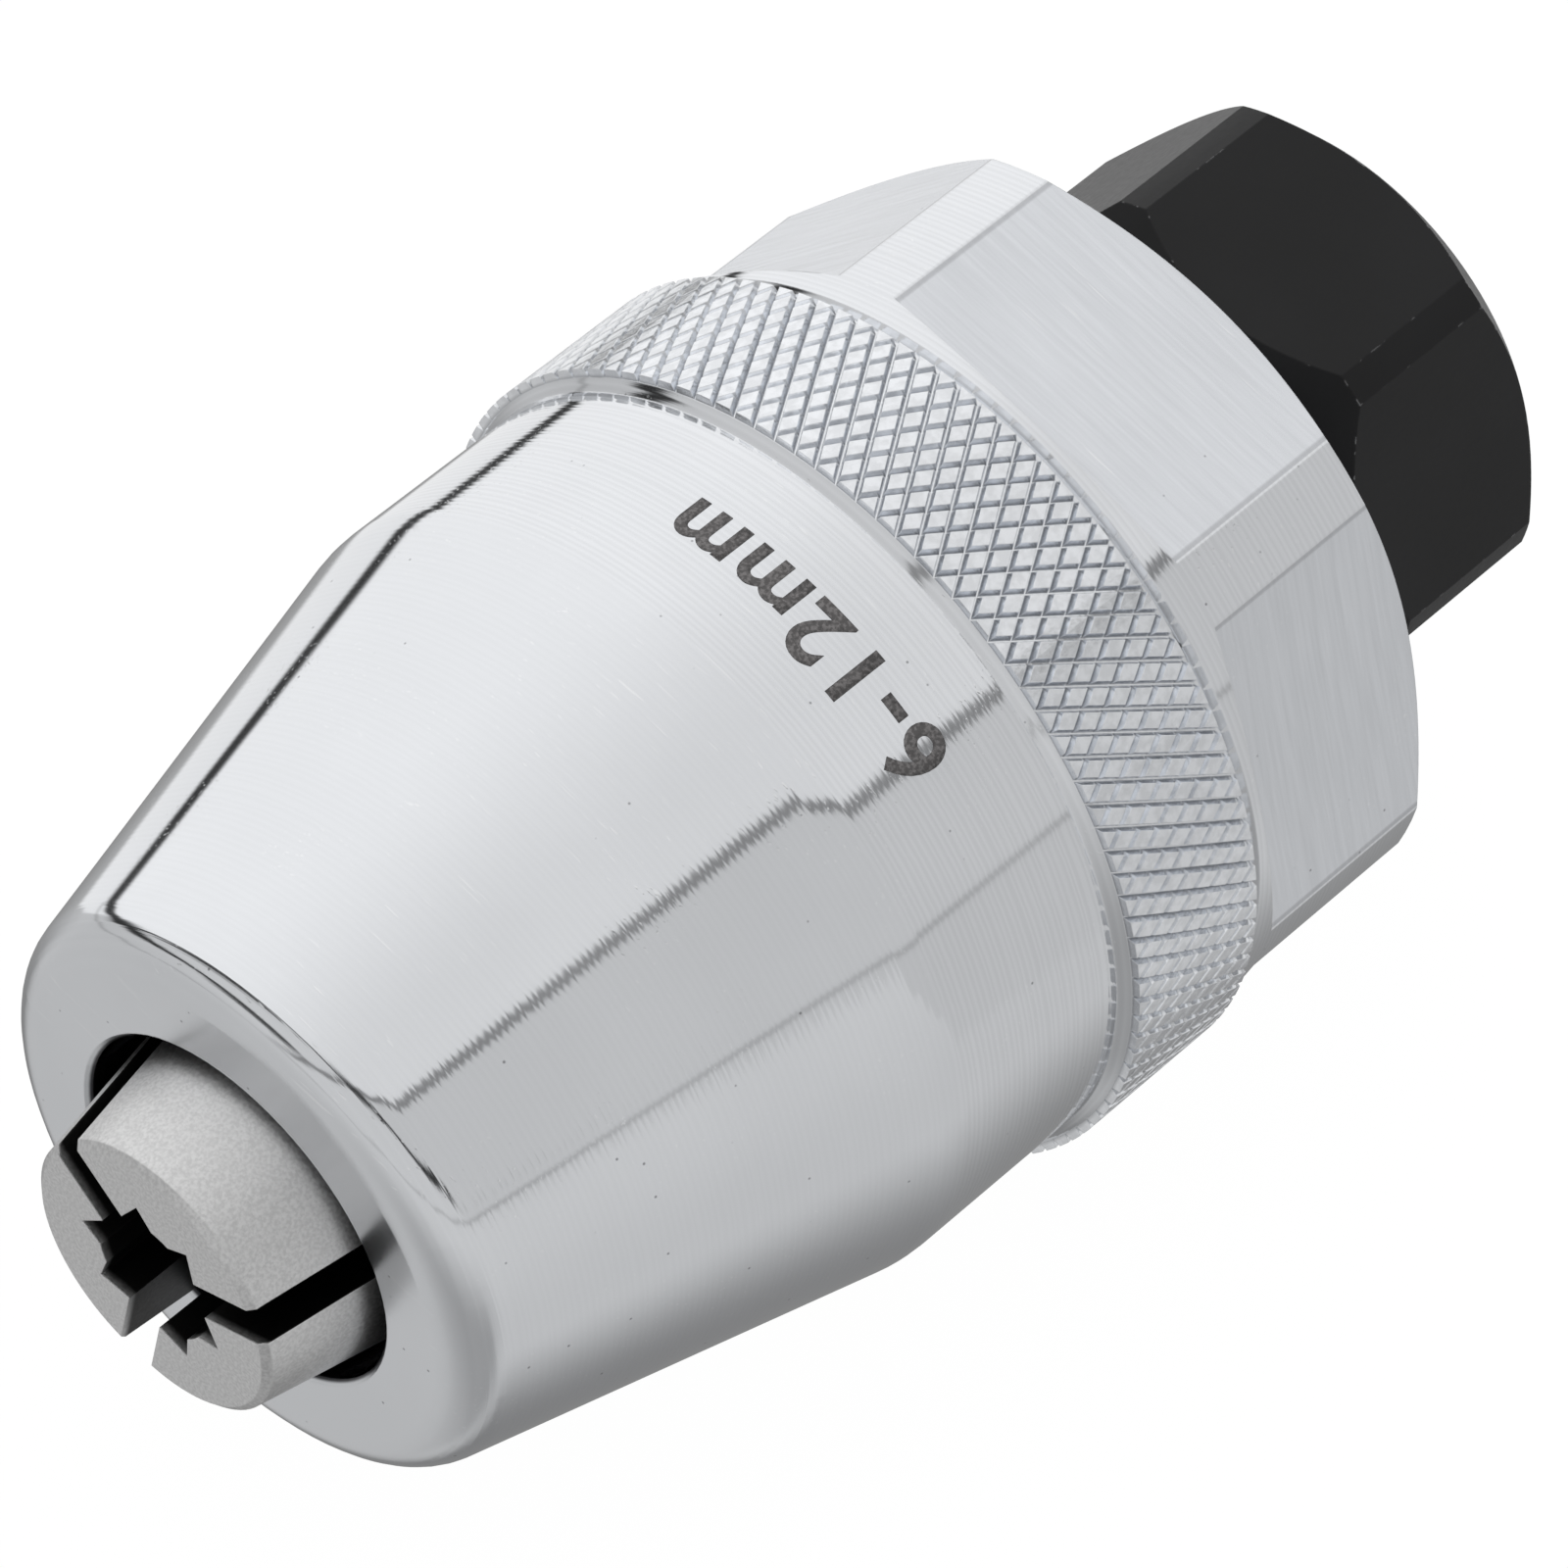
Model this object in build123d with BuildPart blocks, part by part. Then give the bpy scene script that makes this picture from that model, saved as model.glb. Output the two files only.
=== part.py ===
from build123d import *
import os
from math import cos, pi, radians, sin, sqrt

os.makedirs("parts", exist_ok=True)

# The tool's axis is X. X = 0 is the front face of the jaws and +X runs to the drive end.
# Z is up, square to one of the body's spanner flats.

# Outer body
nose_x = 5.5
nose_ring_radius = 13.5
nose_bore_radius = 10.0
nose_bore_chamfer = 0.3
nose_bore_depth = 4.0
cone_end_x = 32.2
barrel_radius = 22.45
cone_slope = 0.25
cone_blend = 6.0
knurl_front_x = 44.4
knurl_rear_x = 53.1
knurl_root_radius = 23.0
knurl_step = 0.55
collar_groove_radius = 22.3
collar_groove_x = 53.6
collar_front_x = 54.2
collar_radius = 22.7
collar_rear_x = 67.1
body_rear_x = 68.75
body_rear_radius = 20.2
body_flats = 41.0
flat_front_x = 55.9
flat_runout = 0.523
body_rear_bore_chamfer = 0.6

# Taper shared by the jaws and the body
taper = 0.1875
jaw_tip_radius = 7.9
taper_clearance = 0.03
jaw_taper_end_x = 23.0
jaw_back_radius = 12.0
guide_bore_radius = 14.6

# Jaws
jaw_count = 3
jaw_clock = -3.3
jaw_rear_x = 26.5
closing_travel = 3.2
jaw_slot = 2.1
stud_radius = 3.6
groove_radius = 4.75
groove_angle = 21.0
land_angle = 9.0
jaw_tip_chamfer = 0.35
rib_start_x = 14.5
rib_end_x = 22.7
rib_neck_width = 4.0
rib_neck_height = 1.5
rib_head_width = 7.0
rib_head_height = 1.6
rib_clearance = 0.1
groove_start_x = 11.0
groove_end_x = 40.0
tail_inner_radius = 5.5
tail_outer_radius = 11.5
tail_neck_width = 5.0
tail_head_width = 9.0
tail_head_x = 29.7
tail_head_length = 3.0
tail_clearance = 0.1

# Carrier
carrier_front_x = 26.7
carrier_flange_x = 39.0
carrier_rear_x = 43.5
carrier_hub_radius = 11.9
carrier_flange_radius = 14.5
carrier_hole_radius = 3.9
carrier_hole_depth = 7.0
slot_inner_radius = 4.7

# Thrust bearing
ball_radius = 1.5875
ball_count = 12
ball_pitch_radius = 11.2
race_depth = 0.25
race_radius = 1.66
washer_thickness = 1.2
washer_bore_radius = 8.15
washer_outer_radius = 14.2
cage_thickness = 1.6
cage_pocket_radius = 1.68

# Drive spindle
spindle_clock = -4.0
thread_pitch = 3.0
thread_major_radius = 16.0
thread_minor_radius = 14.5
thread_flank = 0.268
thread_clearance = 0.15
thread_radial_clearance = 0.25
thread_rear_x = 68.4
thread_start_x = 47.0
thread_turns = 8
thread_blank_x = 76.0
collar_blank_x = 43.0
relief_front_x = 45.3
relief_rear_x = 51.0
relief_radius = 16.4
spindle_neck_radius = 12.6
pilot_radius = 7.9
pilot_front_x = 44.0
hex_front_x = 72.2
hex_rear_x = 86.2
hex_flats = 27.0
hex_corner_radius = 15.1
hex_front_radius = 12.8
hex_front_corner_x = 75.0
hex_rear_corner_x = 84.5
hex_rear_radius = 13.2
drive_square = 12.85
drive_depth = 16.0
drive_corner_relief = 0.6
drive_mouth_chamfer = 0.8
drive_groove_radius = 7.6
drive_groove_x = 79.0
drive_groove_width = 4.0

# Shoulder screw
screw_shoulder_radius = 3.25
screw_bore_clearance = 0.05
screw_thread_radius = 2.45
screw_hole_radius = 2.5
screw_tip_x = 36.0
screw_seat_x = 62.5
screw_washer_thickness = 0.8
screw_head_radius = 5.0
screw_head_height = 4.5
screw_key = 3.0
screw_key_depth = 2.5
screw_pocket_radius = 5.3

# Lengths worked out from the ones above
washer_gap = 2 * (ball_radius - race_depth)
front_washer_x = carrier_rear_x
ball_x = front_washer_x + washer_thickness + washer_gap / 2
rear_washer_x = front_washer_x + washer_thickness + washer_gap
spindle_front_x = rear_washer_x + washer_thickness
screw_head_x = screw_seat_x + screw_washer_thickness
jaw_angles = [jaw_clock + 360 / jaw_count * i for i in range(jaw_count)]


def side_plane(angle):
    # Plane through the axis: local x is the tool's axis, local y points away from it.
    a = radians(angle)
    return Plane(origin=(0, 0, 0), x_dir=(1, 0, 0), z_dir=(0, -cos(a), -sin(a)))


def cross_plane(x, angle=0.0):
    # Plane square to the axis: local y points away from the axis at the angle.
    a = radians(angle)
    return Plane(origin=(x, 0, 0), x_dir=(0, cos(a), sin(a)), z_dir=(1, 0, 0))


def taper_plane(x, angle):
    # Plane square to the jaw taper at x: local x is sideways, local y away from the taper.
    a = radians(angle)
    r = jaw_tip_radius + x * taper
    length = sqrt(1 + taper**2)
    across = (0, cos(a), sin(a))
    along = (1 / length, -sin(a) * taper / length, cos(a) * taper / length)
    return Plane(origin=(x, -sin(a) * r, cos(a) * r), x_dir=across, z_dir=along)


def polar(radius, angle):
    a = radians(angle)
    return (radius * sin(a), radius * cos(a))


def thread_helix(start_x):
    return Helix(
        pitch=thread_pitch,
        height=thread_turns * thread_pitch,
        radius=thread_minor_radius,
        center=(start_x, 0, 0),
        direction=(1, 0, 0),
        lefthand=True,
    )


def thread_section(path, half_width, bottom, top, flank):
    # Trapezoid across the thread. Half width is at the minor radius and grows by the flank.
    start = path @ 0
    outward = Vector(0, start.Y, start.Z).normalized()
    plane = Plane(origin=start, x_dir=outward, z_dir=path % 0)
    low = bottom - thread_minor_radius
    high = top - thread_minor_radius
    low_half = half_width + low * flank
    high_half = half_width + high * flank
    with BuildSketch(plane) as section:
        with BuildLine():
            Polyline(
                (low, -low_half),
                (high, -high_half),
                (high, high_half),
                (low, low_half),
                close=True,
            )
        make_face()
    return section.sketch


# ---------------------------------------------------------------- outer body
cone_start_x = nose_x
cone_start_radius = barrel_radius - (cone_end_x - cone_start_x) * cone_slope
taper_start_x = nose_x + nose_bore_depth
taper_end_x = (guide_bore_radius - taper_clearance - jaw_tip_radius) / taper
female_minor_radius = thread_minor_radius + thread_radial_clearance

with BuildPart() as outer_body:
    with BuildSketch(Plane.XY):
        with BuildLine():
            Polyline(
                (nose_x, nose_bore_radius),
                (nose_x, nose_ring_radius),
                (nose_x, cone_start_radius),
                (cone_end_x, barrel_radius),
                (knurl_front_x - knurl_step, barrel_radius),
                (knurl_front_x, knurl_root_radius),
                (knurl_rear_x, knurl_root_radius),
                (collar_groove_x, collar_groove_radius),
                (collar_front_x - (collar_radius - collar_groove_radius), collar_groove_radius),
                (collar_front_x, collar_radius),
                (collar_rear_x, collar_radius),
                (body_rear_x, body_rear_radius),
                (body_rear_x, body_rear_radius - 1),
                (thread_blank_x, body_rear_radius - 1),
                (thread_blank_x, female_minor_radius),
                (relief_front_x, female_minor_radius),
                (relief_front_x, guide_bore_radius),
                (taper_end_x, guide_bore_radius),
                (taper_start_x, jaw_tip_radius + taper_start_x * taper + taper_clearance),
                (taper_start_x, nose_bore_radius),
                close=True,
            )
        make_face()
    revolve(axis=Axis.X)
    # Rounded nose lip and the soft blend from cone to barrel
    edges_round = outer_body.edges().filter_by(GeomType.CIRCLE)
    lip = edges_round.filter_by(
        lambda e: abs(e.radius - cone_start_radius) < 0.01 and abs(e.center().X - nose_x) < 0.01
    )
    fillet(lip, 2.9)
    blend = outer_body.edges().filter_by(GeomType.CIRCLE).filter_by(
        lambda e: abs(e.radius - barrel_radius) < 0.01 and abs(e.center().X - cone_end_x) < 0.01
    )
    fillet(blend, cone_blend)
    mouth = outer_body.edges().filter_by(GeomType.CIRCLE).filter_by(
        lambda e: abs(e.radius - nose_bore_radius) < 0.01 and abs(e.center().X - nose_x) < 0.01
    )
    chamfer(mouth, nose_bore_chamfer)
    # Six spanner flats with sloping run-outs at the front
    for flat in range(6):
        with BuildSketch(side_plane(60 * flat)):
            with BuildLine():
                Polyline(
                    (flat_front_x, body_flats / 2),
                    (body_rear_x + 1, body_flats / 2),
                    (body_rear_x + 1, collar_radius + 1),
                    (
                        flat_front_x - (collar_radius + 1 - body_flats / 2) * flat_runout,
                        collar_radius + 1,
                    ),
                    close=True,
                )
            make_face()
        extrude(amount=14, both=True, mode=Mode.SUBTRACT)
    # Inclined T grooves that guide the jaws along the taper
    for angle in jaw_angles:
        with BuildSketch(taper_plane(groove_start_x, angle)):
            with Locations((0, (rib_neck_height + rib_clearance - 1) / 2)):
                Rectangle(rib_neck_width + 2 * rib_clearance, rib_neck_height + rib_clearance + 1)
            with Locations((0, rib_neck_height + rib_head_height / 2)):
                Rectangle(
                    rib_head_width + 2 * rib_clearance, rib_head_height + 2 * rib_clearance
                )
        extrude(amount=(groove_end_x - groove_start_x), mode=Mode.SUBTRACT)
    # Left-hand thread for the spindle, cut through a blank that is longer than the body
    groove_path = thread_helix(thread_start_x)
    sweep(
        sections=thread_section(
            groove_path,
            thread_pitch / 4 + thread_clearance / 2 + 0.75 * thread_flank,
            female_minor_radius - 0.3,
            thread_major_radius + thread_radial_clearance,
            -thread_flank,
        ),
        path=groove_path,
        is_frenet=True,
        mode=Mode.SUBTRACT,
    )
    # Plain relief in front of the thread
    with BuildSketch(Plane.XY):
        with BuildLine():
            Polyline(
                (relief_front_x, 10),
                (relief_front_x, relief_radius),
                (relief_rear_x, relief_radius),
                (relief_rear_x + relief_radius - 10, 10),
                close=True,
            )
        make_face()
    revolve(axis=Axis.X, mode=Mode.SUBTRACT)
    # Rear end faced off, with a lead-in chamfer at the mouth of the thread
    with BuildSketch(Plane.XY):
        with BuildLine():
            Polyline(
                (thread_blank_x + 1, 10),
                (thread_blank_x + 1, collar_radius + 1),
                (body_rear_x, collar_radius + 1),
                (body_rear_x, thread_major_radius + body_rear_bore_chamfer),
                (body_rear_x - 2.1, female_minor_radius - 0.25),
                (body_rear_x - 2.1, 10),
                close=True,
            )
        make_face()
    revolve(axis=Axis.X, mode=Mode.SUBTRACT)
outer_body.part.label = "outer_body"
export_step(outer_body.part, "parts/outer_body.step")


# ---------------------------------------------------------------- drive spindle
with BuildPart() as drive_spindle:
    # Threaded collar: an over-long plain collar with the left-hand groove cut round it
    with BuildSketch(cross_plane(collar_blank_x)):
        Circle(thread_major_radius)
    extrude(amount=thread_blank_x - collar_blank_x)
    groove_path = thread_helix(thread_start_x - thread_pitch / 2)
    sweep(
        sections=thread_section(
            groove_path,
            thread_pitch / 4 + thread_clearance / 2 - 0.75 * thread_flank,
            thread_minor_radius,
            thread_major_radius + 0.3,
            thread_flank,
        ),
        path=groove_path,
        is_frenet=True,
        mode=Mode.SUBTRACT,
    )
    # Keep only the length of thread that is wanted
    with BuildSketch(cross_plane(spindle_front_x)):
        Circle(thread_major_radius + 4)
    extrude(amount=thread_rear_x - spindle_front_x, mode=Mode.INTERSECT)
    # Lead chamfer at each end of the thread
    for end_x, inward in ((spindle_front_x, 1), (thread_rear_x, -1)):
        with BuildSketch(Plane.XY):
            with BuildLine():
                Polyline(
                    (end_x - 0.5 * inward, thread_minor_radius - 0.4),
                    (end_x + 1.9 * inward, thread_major_radius + 0.4),
                    (end_x - 0.5 * inward, thread_major_radius + 0.4),
                    close=True,
                )
            make_face()
        revolve(axis=Axis.X, mode=Mode.SUBTRACT)
    # Pilot in front of the collar and neck behind it
    with BuildSketch(cross_plane(pilot_front_x)):
        Circle(pilot_radius)
    extrude(amount=spindle_front_x - pilot_front_x)
    with BuildSketch(cross_plane(thread_rear_x)):
        Circle(spindle_neck_radius)
    extrude(amount=hex_front_x + 1 - thread_rear_x)
    # Drive hexagon with turned corners and a chamfer at each end
    with BuildSketch(cross_plane(hex_front_x, spindle_clock)):
        RegularPolygon(radius=hex_flats / 2, side_count=6, major_radius=False)
    extrude(amount=hex_rear_x - hex_front_x)
    with BuildSketch(Plane.XY):
        with BuildLine():
            Polyline(
                (pilot_front_x, 0),
                (pilot_front_x, 17),
                (hex_front_x - 0.3, 17),
                (hex_front_x, hex_front_radius),
                (hex_front_corner_x, hex_corner_radius),
                (hex_rear_corner_x, hex_corner_radius),
                (hex_rear_x, hex_rear_radius),
                (hex_rear_x, 0),
                close=True,
            )
        make_face()
    revolve(axis=Axis.X, mode=Mode.INTERSECT)
    # Square drive socket, its mouth chamfer and the detent groove
    with BuildSketch(cross_plane(hex_rear_x, spindle_clock)):
        Rectangle(drive_square, drive_square)
        with GridLocations(drive_square, drive_square, 2, 2):
            Circle(drive_corner_relief)
    extrude(amount=-drive_depth, mode=Mode.SUBTRACT)
    with BuildSketch(cross_plane(hex_rear_x, spindle_clock)):
        Rectangle(drive_square + 2 * drive_mouth_chamfer, drive_square + 2 * drive_mouth_chamfer)
    extrude(amount=-drive_mouth_chamfer, taper=44, mode=Mode.SUBTRACT)
    with BuildSketch(cross_plane(drive_groove_x - drive_groove_width / 2)):
        Circle(drive_groove_radius)
    extrude(amount=drive_groove_width, mode=Mode.SUBTRACT)
    # Screw pocket and shoulder bore
    with BuildSketch(cross_plane(screw_seat_x)):
        Circle(screw_pocket_radius)
    extrude(amount=hex_rear_x - drive_depth - screw_seat_x + 0.1, mode=Mode.SUBTRACT)
    with BuildSketch(cross_plane(pilot_front_x)):
        Circle(screw_shoulder_radius + screw_bore_clearance)
    extrude(amount=screw_seat_x - pilot_front_x + 0.1, mode=Mode.SUBTRACT)
drive_spindle.part.label = "drive_spindle"
export_step(drive_spindle.part, "parts/drive_spindle.step")


# ---------------------------------------------------------------- jaw carrier
with BuildPart() as jaw_carrier:
    with BuildSketch(cross_plane(carrier_front_x)):
        Circle(carrier_hub_radius)
    extrude(amount=carrier_flange_x - carrier_front_x)
    with BuildSketch(cross_plane(carrier_flange_x)):
        Circle(carrier_flange_radius)
    extrude(amount=carrier_rear_x - carrier_flange_x)
    rim = jaw_carrier.edges().filter_by(GeomType.CIRCLE).filter_by(
        lambda e: e.radius > carrier_flange_radius - 0.1
    )
    chamfer(rim, 0.4)
    with BuildSketch(cross_plane(carrier_front_x)):
        Circle(carrier_hole_radius)
    extrude(amount=carrier_hole_depth, mode=Mode.SUBTRACT)
    with BuildSketch(cross_plane(screw_tip_x - 0.5)):
        Circle(screw_hole_radius)
    extrude(amount=carrier_rear_x - screw_tip_x + 1, mode=Mode.SUBTRACT)
    # Radial T slots, open at the rim so that a jaw's tail slides in from outside
    slot_length = carrier_flange_radius + 1 - slot_inner_radius
    slot_middle = slot_inner_radius + slot_length / 2
    for angle in jaw_angles:
        with BuildSketch(cross_plane(carrier_front_x, angle)):
            with Locations((0, slot_middle)):
                Rectangle(tail_neck_width + 2 * tail_clearance, slot_length)
        extrude(amount=tail_head_x - carrier_front_x, mode=Mode.SUBTRACT)
        with BuildSketch(cross_plane(tail_head_x - tail_clearance, angle)):
            with Locations((0, slot_middle)):
                Rectangle(tail_head_width + 2 * tail_clearance, slot_length)
        extrude(amount=tail_head_length + 2 * tail_clearance, mode=Mode.SUBTRACT)
jaw_carrier.part.label = "jaw_carrier"
export_step(jaw_carrier.part, "parts/jaw_carrier.step")


# ---------------------------------------------------------------- jaws
def make_jaw(angle, name):
    back_offset = closing_travel * taper
    # Side of the slot, drawn parallel to the slot's middle line
    half = jaw_slot / 2
    inner = sqrt(stud_radius**2 - half**2)
    outer = 18.0
    side = (sin(radians(60)), cos(radians(60)))
    shift = (-half * side[1], half * side[0])
    tip = (inner * side[0] + shift[0], inner * side[1] + shift[1])
    far = (outer * side[0] + shift[0], outer * side[1] + shift[1])
    valley = polar(groove_radius, groove_angle)
    land = polar(stud_radius, land_angle)
    with BuildPart() as jaw:
        with BuildSketch(cross_plane(0, angle)):
            with BuildLine():
                Polyline(land, valley, tip, far, (0, 2 * outer), (-far[0], far[1]))
                Polyline((-far[0], far[1]), (-tip[0], tip[1]), (-valley[0], valley[1]),
                         (-land[0], land[1]))
                ThreePointArc((-land[0], land[1]), (0, stud_radius), land)
            make_face()
        extrude(amount=jaw_rear_x)
        with BuildSketch(side_plane(angle)):
            with BuildLine():
                Polyline(
                    (0, back_offset),
                    (0, jaw_tip_radius - jaw_tip_chamfer),
                    (jaw_tip_chamfer, jaw_tip_radius + jaw_tip_chamfer * taper),
                    (jaw_taper_end_x, jaw_tip_radius + jaw_taper_end_x * taper),
                    (jaw_taper_end_x + 0.3, jaw_back_radius),
                    (jaw_rear_x, jaw_back_radius),
                    (jaw_rear_x, back_offset),
                    close=True,
                )
            make_face()
        # The round back is centred a little off the tool's axis, so that it fits the body's
        # taper when the jaws are fully closed and clears it everywhere else
        back_centre = (0, -sin(radians(angle)) * back_offset, cos(radians(angle)) * back_offset)
        revolve(axis=Axis(back_centre, (1, 0, 0)), mode=Mode.INTERSECT)
        # T rib on the back
        with BuildSketch(taper_plane(rib_start_x, angle)):
            with Locations((0, rib_neck_height / 2 - 0.5)):
                Rectangle(rib_neck_width, rib_neck_height + 1)
            with Locations((0, rib_neck_height + rib_head_height / 2)):
                Rectangle(rib_head_width, rib_head_height)
        extrude(amount=(rib_end_x - rib_start_x) * sqrt(1 + taper**2))
        # T head at the tail
        tail_middle = (tail_inner_radius + tail_outer_radius) / 2
        tail_height = tail_outer_radius - tail_inner_radius
        with BuildSketch(cross_plane(jaw_rear_x - 0.2, angle)):
            with Locations((0, tail_middle)):
                Rectangle(tail_neck_width, tail_height)
        extrude(amount=tail_head_x - jaw_rear_x + 0.3)
        with BuildSketch(cross_plane(tail_head_x, angle)):
            with Locations((0, tail_middle)):
                Rectangle(tail_head_width, tail_height)
        extrude(amount=tail_head_length)
    jaw.part.label = name
    export_step(jaw.part, "parts/" + name + ".step")


for number, angle in enumerate(jaw_angles, start=1):
    make_jaw(angle, "jaw_" + str(number))


# ---------------------------------------------------------------- thrust bearing
def make_washer(x, race_x, name):
    # Flat ring with a shallow ball race on the side that faces the balls
    with BuildPart() as washer:
        with BuildSketch(cross_plane(x)):
            Circle(washer_outer_radius)
            Circle(washer_bore_radius, mode=Mode.SUBTRACT)
        extrude(amount=washer_thickness)
        with BuildSketch(Plane.XY):
            with Locations((race_x, ball_pitch_radius)):
                Circle(race_radius)
        revolve(axis=Axis.X, mode=Mode.SUBTRACT)
    washer.part.label = name
    export_step(washer.part, "parts/" + name + ".step")


race_offset = race_radius - race_depth
make_washer(
    front_washer_x, front_washer_x + washer_thickness + race_offset, "thrust_washer_front"
)
make_washer(rear_washer_x, rear_washer_x - race_offset, "thrust_washer_rear")

with BuildPart() as ball_cage:
    with BuildSketch(cross_plane(ball_x - cage_thickness / 2)):
        Circle(washer_outer_radius - 0.1)
        Circle(washer_bore_radius, mode=Mode.SUBTRACT)
        with PolarLocations(ball_pitch_radius, ball_count):
            Circle(cage_pocket_radius, mode=Mode.SUBTRACT)
    extrude(amount=cage_thickness)
ball_cage.part.label = "ball_cage"
export_step(ball_cage.part, "parts/ball_cage.step")

for number in range(ball_count):
    around = 2 * pi * number / ball_count
    with BuildPart() as thrust_ball:
        place = (ball_x, ball_pitch_radius * cos(around), ball_pitch_radius * sin(around))
        with Locations(place):
            Sphere(ball_radius)
    ball_name = "thrust_ball_%02d" % (number + 1)
    thrust_ball.part.label = ball_name
    export_step(thrust_ball.part, "parts/" + ball_name + ".step")


# ---------------------------------------------------------------- shoulder screw
with BuildPart() as shoulder_screw:
    with BuildSketch(cross_plane(screw_tip_x)):
        Circle(screw_thread_radius)
    extrude(amount=carrier_rear_x - screw_tip_x)
    with BuildSketch(cross_plane(carrier_rear_x)):
        Circle(screw_shoulder_radius)
    extrude(amount=screw_head_x - carrier_rear_x)
    with BuildSketch(cross_plane(screw_head_x)):
        Circle(screw_head_radius)
    extrude(amount=screw_head_height)
    head_edge = shoulder_screw.edges().filter_by(GeomType.CIRCLE).filter_by(
        lambda e: e.center().X > screw_head_x + screw_head_height - 0.01
    )
    chamfer(head_edge, 0.4)
    with BuildSketch(cross_plane(screw_head_x + screw_head_height)):
        RegularPolygon(radius=screw_key / 2, side_count=6, major_radius=False)
    extrude(amount=-screw_key_depth, mode=Mode.SUBTRACT)
shoulder_screw.part.label = "shoulder_screw"
export_step(shoulder_screw.part, "parts/shoulder_screw.step")

with BuildPart() as screw_washer:
    with BuildSketch(cross_plane(screw_seat_x)):
        Circle(screw_head_radius + 0.1)
        Circle(screw_shoulder_radius + screw_bore_clearance, mode=Mode.SUBTRACT)
    extrude(amount=screw_washer_thickness)
screw_washer.part.label = "screw_washer"
export_step(screw_washer.part, "parts/screw_washer.step")
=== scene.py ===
from math import cos, pi, radians, sin

import bmesh
import bpy
from bpy.props import FloatProperty, FloatVectorProperty, IntProperty, PointerProperty
from bpy.props import StringProperty
from mathutils import Matrix, Vector


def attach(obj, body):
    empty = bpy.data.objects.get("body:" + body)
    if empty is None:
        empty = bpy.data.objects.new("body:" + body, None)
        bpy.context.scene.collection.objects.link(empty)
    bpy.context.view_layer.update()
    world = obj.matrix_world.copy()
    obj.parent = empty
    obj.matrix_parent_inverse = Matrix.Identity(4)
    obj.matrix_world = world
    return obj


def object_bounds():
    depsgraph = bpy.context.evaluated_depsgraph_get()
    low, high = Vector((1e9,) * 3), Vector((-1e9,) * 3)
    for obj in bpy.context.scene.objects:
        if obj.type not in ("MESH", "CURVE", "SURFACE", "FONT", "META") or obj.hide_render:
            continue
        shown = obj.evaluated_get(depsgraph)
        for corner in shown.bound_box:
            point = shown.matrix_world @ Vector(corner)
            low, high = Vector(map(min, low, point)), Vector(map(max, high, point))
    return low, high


bl_info = {
    "name": "Three-Jaw Stud Extractor",
    "version": (1, 0, 0),
    "blender": (4, 5, 0),
    "location": "View3D > Sidebar > Extractor",
    "description": "Finishes, knurled band and studio stage for a three-jaw stud extractor",
    "category": "Object",
}

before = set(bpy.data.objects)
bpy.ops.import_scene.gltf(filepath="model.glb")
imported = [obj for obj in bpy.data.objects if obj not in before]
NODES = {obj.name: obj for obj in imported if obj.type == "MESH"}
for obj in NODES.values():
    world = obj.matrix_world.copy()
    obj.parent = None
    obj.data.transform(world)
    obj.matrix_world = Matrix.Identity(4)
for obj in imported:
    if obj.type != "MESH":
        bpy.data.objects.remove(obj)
cad_box = [list(corner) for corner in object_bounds()]
BODY = "outer_body"
SPINDLE = "drive_spindle"
JAWS = ("jaw_1", "jaw_2", "jaw_3")
# Where one finish gives way to the next: where each blend starts and ends, in metres.
# The first ones run along the axis, and those called reach run out from it.
LIP_END = (0.00560, 0.00600)
BORE_START = (0.00560, 0.00575)
BARREL_START = (0.0322, 0.0335)
FLATS_START = (0.05475, 0.05480)
BORE_REACH = (0.0101, 0.0103)
FLATS_REACH = (0.02262, 0.02266)
# The two rim reaches bound the painted shade line where the flats break out of the collar
RIM_INNER_REACH = (0.02250, 0.02258)
RIM_OUTER_REACH = (0.02263, 0.02267)
# The groove reach bounds the painted shade in the knurl's grooves
GROOVE_REACH = (0.02298, 0.02320)

# The slots between the jaws: the first one's angle in degrees, and sizes in metres
SLOT_ANGLE = 56.7
SLOT_COUNT = 3
SLOT_HALF_WIDTH = 0.00108
SLOT_FOOT = 0.002
BITE_RADIUS = 0.0048
JAW_TIP_START = (0.0001, 0.0006)

CARRIER_COLOUR = (0.33, 0.33, 0.34)
BEARING_COLOUR = (0.62, 0.62, 0.64)


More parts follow.
